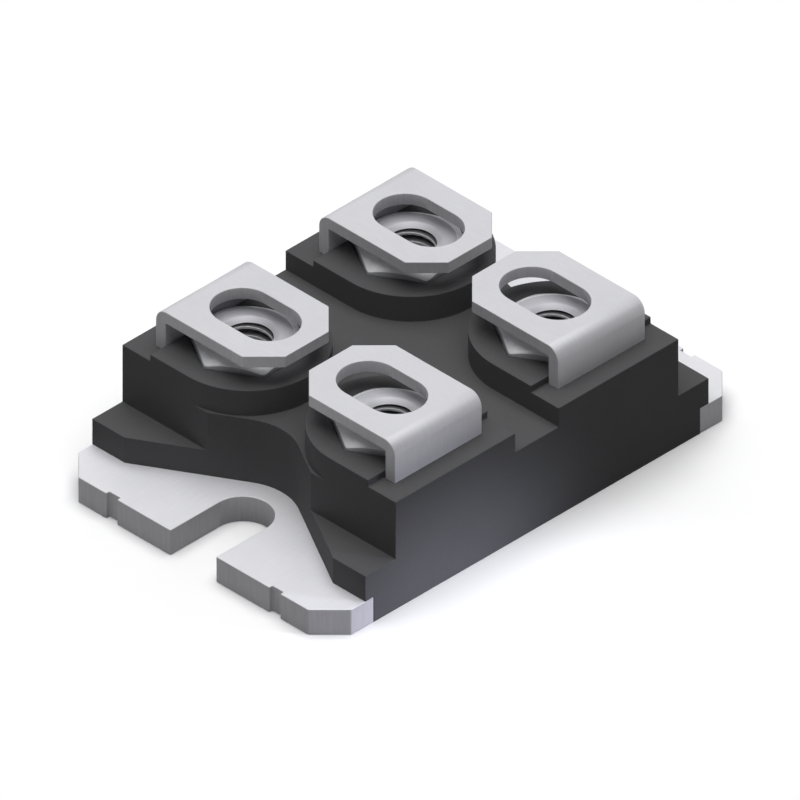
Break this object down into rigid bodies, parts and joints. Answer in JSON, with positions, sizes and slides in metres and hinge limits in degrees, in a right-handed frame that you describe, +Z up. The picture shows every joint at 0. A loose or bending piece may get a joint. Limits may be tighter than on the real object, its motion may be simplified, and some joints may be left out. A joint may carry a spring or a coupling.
{
  "type": "power diode module",
  "caption": "Flat isolated power diode module: black moulded housing on a screw-down metal base plate, with slotted terminals bent over nuts.",
  "frame": {"origin": "middle of the base plate's underside", "axes": "+X along the long side, from the open screw slot to the closed screw hole; +Z up out of the base plate"},
  "size_m": [0.0382, 0.0252, 0.0116],
  "materials": {
    "moulded_epoxy": "fine matt moulded surface",
    "nickel_plated_copper": "satin nickel plating on copper",
    "plated_steel": "bright zinc plating on steel",
    "bare_copper": "bare rolled copper",
    "solder": "dull reflowed solder",
    "alumina": "fired white alumina",
    "silicon": "metallised silicon",
    "aluminium_ribbon": "rolled aluminium ribbon"
  },
  "bodies": {
    "root": {"anode_pad_a": "bare_copper", "anode_pad_b": "bare_copper", "anode_terminal_a": "nickel_plated_copper", "anode_terminal_b": "nickel_plated_copper", "anode_terminal_solder_a": "solder", "anode_terminal_solder_b": "solder", "baseplate": "nickel_plated_copper", "bond_ribbon_a1": "aluminium_ribbon", "bond_ribbon_a2": "aluminium_ribbon", "bond_ribbon_a3": "aluminium_ribbon", "bond_ribbon_a4": "aluminium_ribbon", "bond_ribbon_b1": "aluminium_ribbon", "bond_ribbon_b2": "aluminium_ribbon", "bond_ribbon_b3": "aluminium_ribbon", "bond_ribbon_b4": "aluminium_ribbon", "cathode_pad_a": "bare_copper", "cathode_pad_b": "bare_copper", "cathode_terminal_a": "nickel_plated_copper", "cathode_terminal_b": "nickel_plated_copper", "cathode_terminal_solder_a": "solder", "cathode_terminal_solder_b": "solder", "chip_solder_a": "solder", "chip_solder_b": "solder", "diode_chip_a": "silicon", "diode_chip_b": "silicon", "housing": "moulded_epoxy", "substrate_bottom_copper": "bare_copper", "substrate_ceramic": "alumina", "substrate_solder": "solder", "terminal_nuts": "plated_steel"}
  },
  "joints": []
}
